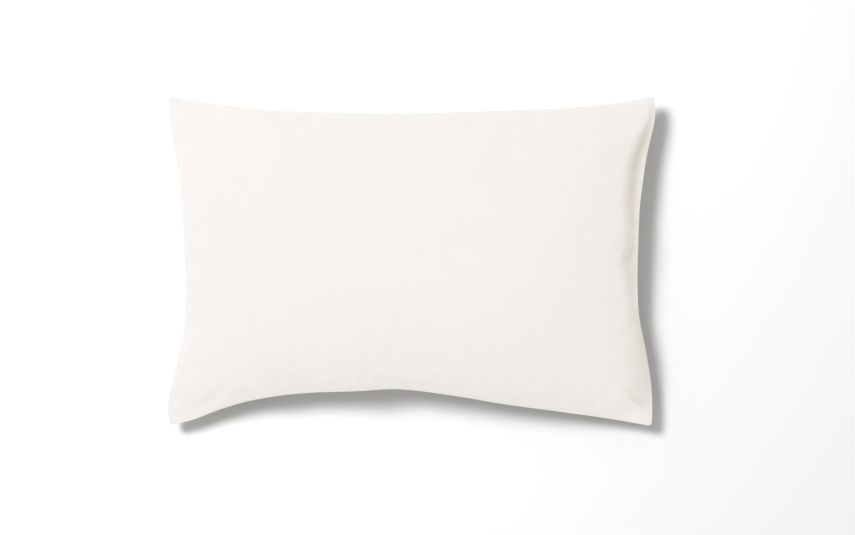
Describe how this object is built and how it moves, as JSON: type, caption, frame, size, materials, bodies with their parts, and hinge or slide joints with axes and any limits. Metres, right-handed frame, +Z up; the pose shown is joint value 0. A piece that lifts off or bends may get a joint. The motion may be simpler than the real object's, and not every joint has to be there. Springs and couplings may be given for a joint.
{
  "type": "pillowcase",
  "caption": "Plain white cotton pillowcase on its pillow: full crown, drawn-in sides, flat corner ears and an open hemmed end, lying on its back.",
  "frame": {"origin": "on the surface that the case lies on, under the middle of its bounding box", "axes": "+Z up, through the thickness, +X along the length towards the open end, +Y across the width"},
  "size_m": [0.7272, 0.49, 0.1679],
  "materials": {
    "cotton": "matt off-white plain-weave cotton"
  },
  "bodies": {
    "root": {"pillowcase": "cotton"}
  },
  "joints": []
}
